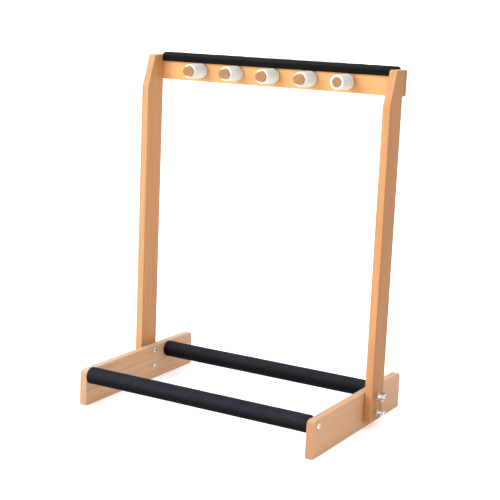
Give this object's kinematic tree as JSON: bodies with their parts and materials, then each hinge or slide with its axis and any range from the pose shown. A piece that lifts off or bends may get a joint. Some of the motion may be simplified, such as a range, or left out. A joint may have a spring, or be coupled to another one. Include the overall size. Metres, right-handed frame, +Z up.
{
  "type": "racket display stand",
  "caption": "Free-standing beech racket stand: board feet, bolted posts, foam-covered bars near the floor, and a rail of foam-sleeved pegs that handles hang between.",
  "frame": {"origin": "on the floor, under the middle of the stand's bounding box", "axes": "+X to the right along the bars, seen from the front; +Y from the front bar to the posts and the rail; +Z up"},
  "size_m": [0.5596, 0.37, 0.6653],
  "materials": {
    "beech": "satin",
    "black_foam": "matte",
    "white_foam": "matte",
    "zinc_steel": "satin",
    "brass": "satin"
  },
  "bodies": {
    "stand": {"left_foot": "beech", "right_foot": "beech", "left_post": "beech", "right_post": "beech", "top_rail": "beech", "rail_foam_cover": "black_foam", "front_bar_core": "beech", "front_bar_foam": "black_foam", "rear_bar_core": "beech", "rear_bar_foam": "black_foam", "peg_1": "beech", "peg_2": "beech", "peg_3": "beech", "peg_4": "beech", "peg_5": "beech", "left_upper_bolt": "zinc_steel", "left_lower_bolt": "zinc_steel", "left_front_bar_bolt": "zinc_steel", "left_rear_bar_bolt": "zinc_steel", "left_front_insert": "brass", "left_rear_insert": "brass", "left_rail_screw_1": "zinc_steel", "left_rail_screw_2": "zinc_steel", "right_upper_bolt": "zinc_steel", "right_lower_bolt": "zinc_steel", "right_front_bar_bolt": "zinc_steel", "right_rear_bar_bolt": "zinc_steel", "right_front_insert": "brass", "right_rear_insert": "brass", "right_rail_screw_1": "zinc_steel", "right_rail_screw_2": "zinc_steel"},
    "sleeve_1": {"peg_sleeve_1": "white_foam"},
    "sleeve_2": {"peg_sleeve_2": "white_foam"},
    "sleeve_3": {"peg_sleeve_3": "white_foam"},
    "sleeve_4": {"peg_sleeve_4": "white_foam"},
    "sleeve_5": {"peg_sleeve_5": "white_foam"},
    "left_upper_washer": {"left_upper_washer": "zinc_steel"},
    "left_upper_nut": {"left_upper_wing_nut": "zinc_steel"},
    "left_lower_washer": {"left_lower_washer": "zinc_steel"},
    "left_lower_nut": {"left_lower_wing_nut": "zinc_steel"},
    "right_upper_washer": {"right_upper_washer": "zinc_steel"},
    "right_upper_nut": {"right_upper_wing_nut": "zinc_steel"},
    "right_lower_washer": {"right_lower_washer": "zinc_steel"},
    "right_lower_nut": {"right_lower_wing_nut": "zinc_steel"}
  },
  "joints": [
    {"name": "sleeve_1_slide", "type": "slide", "parent": "stand", "child": "sleeve_1", "axis": [0, -1, 0], "range_m": [-0.00176, 0.00995]},
    {"name": "sleeve_2_slide", "type": "slide", "parent": "stand", "child": "sleeve_2", "axis": [0, -1, 0], "range_m": [0, 0.0117]},
    {"name": "sleeve_3_slide", "type": "slide", "parent": "stand", "child": "sleeve_3", "axis": [0, -1, 0], "range_m": [-0.00234, 0.00936]},
    {"name": "sleeve_4_slide", "type": "slide", "parent": "stand", "child": "sleeve_4", "axis": [0, -1, 0], "range_m": [-0.00117, 0.01053]},
    {"name": "sleeve_5_slide", "type": "slide", "parent": "stand", "child": "sleeve_5", "axis": [0, -1, 0], "range_m": [-0.0117, 0]},
    {"name": "left_upper_washer_slide", "type": "slide", "parent": "stand", "child": "left_upper_washer", "axis": [-1, 0, 0], "range_m": [0, 0.0049]},
    {"name": "left_upper_nut_turn", "type": "hinge", "parent": "left_upper_washer", "child": "left_upper_nut", "pos_m": [-0.2668, 0.044, 0.06], "axis": [-1, 0, 0], "range_deg": [0, 2160]},
    {"name": "left_lower_washer_slide", "type": "slide", "parent": "stand", "child": "left_lower_washer", "axis": [-1, 0, 0], "range_m": [0, 0.0049]},
    {"name": "left_lower_nut_turn", "type": "hinge", "parent": "left_lower_washer", "child": "left_lower_nut", "pos_m": [-0.2668, 0.044, 0.028], "axis": [-1, 0, 0], "range_deg": [0, 2160]},
    {"name": "right_upper_washer_slide", "type": "slide", "parent": "stand", "child": "right_upper_washer", "axis": [1, 0, 0], "range_m": [0, 0.0049]},
    {"name": "right_upper_nut_turn", "type": "hinge", "parent": "right_upper_washer", "child": "right_upper_nut", "pos_m": [0.2668, 0.044, 0.06], "axis": [1, 0, 0], "range_deg": [0, 2160]},
    {"name": "right_lower_washer_slide", "type": "slide", "parent": "stand", "child": "right_lower_washer", "axis": [1, 0, 0], "range_m": [0, 0.0049]},
    {"name": "right_lower_nut_turn", "type": "hinge", "parent": "right_lower_washer", "child": "right_lower_nut", "pos_m": [0.2668, 0.044, 0.028], "axis": [1, 0, 0], "range_deg": [0, 2160]}
  ],
  "couplings": [
    {"joint": "left_upper_washer_slide", "follows": "left_upper_nut_turn", "m_per_rad": 0.00012732},
    {"joint": "left_lower_washer_slide", "follows": "left_lower_nut_turn", "m_per_rad": 0.00012732},
    {"joint": "right_upper_washer_slide", "follows": "right_upper_nut_turn", "m_per_rad": 0.00012732},
    {"joint": "right_lower_washer_slide", "follows": "right_lower_nut_turn", "m_per_rad": 0.00012732}
  ]
}
